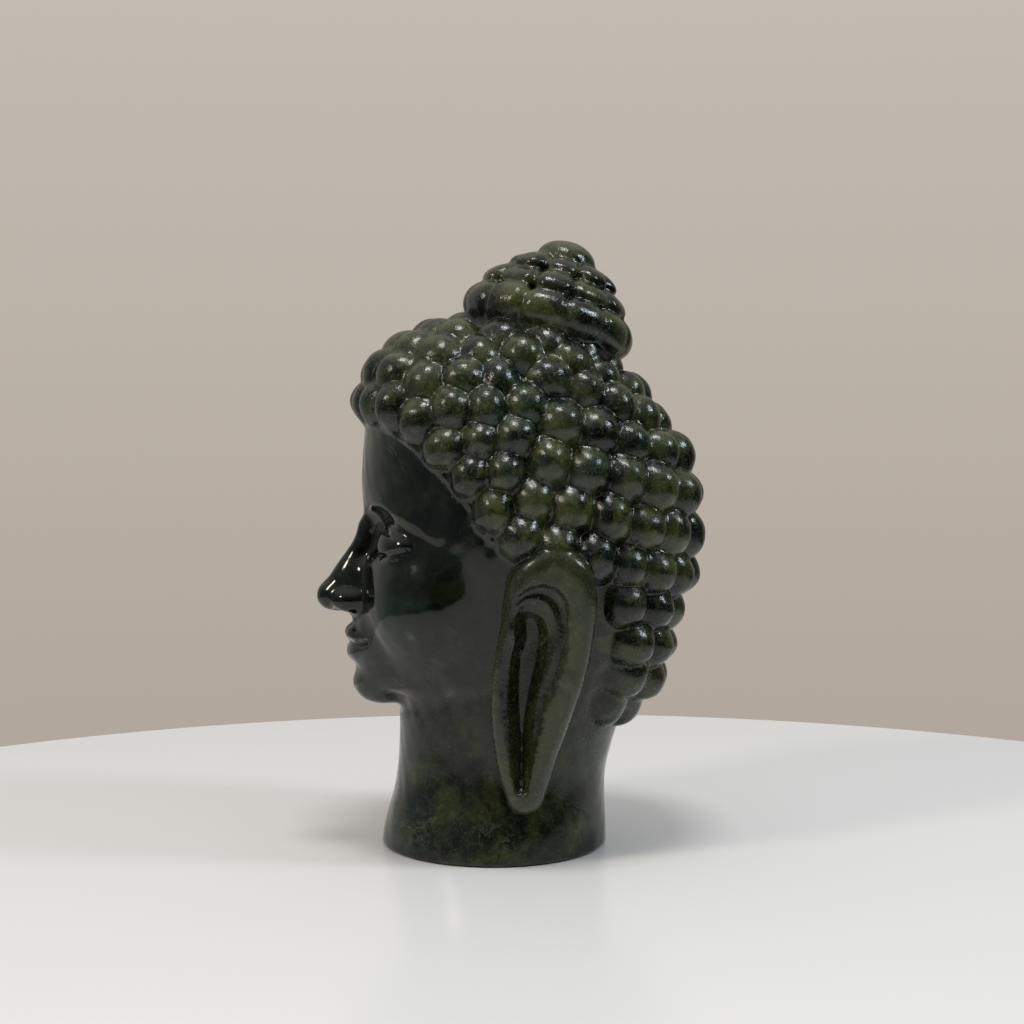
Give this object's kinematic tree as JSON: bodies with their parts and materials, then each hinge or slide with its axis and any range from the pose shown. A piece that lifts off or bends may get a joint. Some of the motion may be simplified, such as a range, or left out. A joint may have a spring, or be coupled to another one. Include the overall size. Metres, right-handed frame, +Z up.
{
  "type": "stone buddha head",
  "caption": "Carved stone Buddha head with snail-curl hair, a lobed topknot leaning back, long earlobes and a neck cut flat so that it stands by itself.",
  "frame": {"origin": "centre of the neck's flat base, on the surface it stands on", "axes": "+Z up along the neck, -Y the way the face looks, +X to the figure's left"},
  "size_m": [0.1038, 0.1291, 0.1999],
  "materials": {
    "stone": "polished dark green nephrite, clouded with olive and near-black"
  },
  "bodies": {
    "root": {"buddha_head": "stone"}
  },
  "joints": []
}
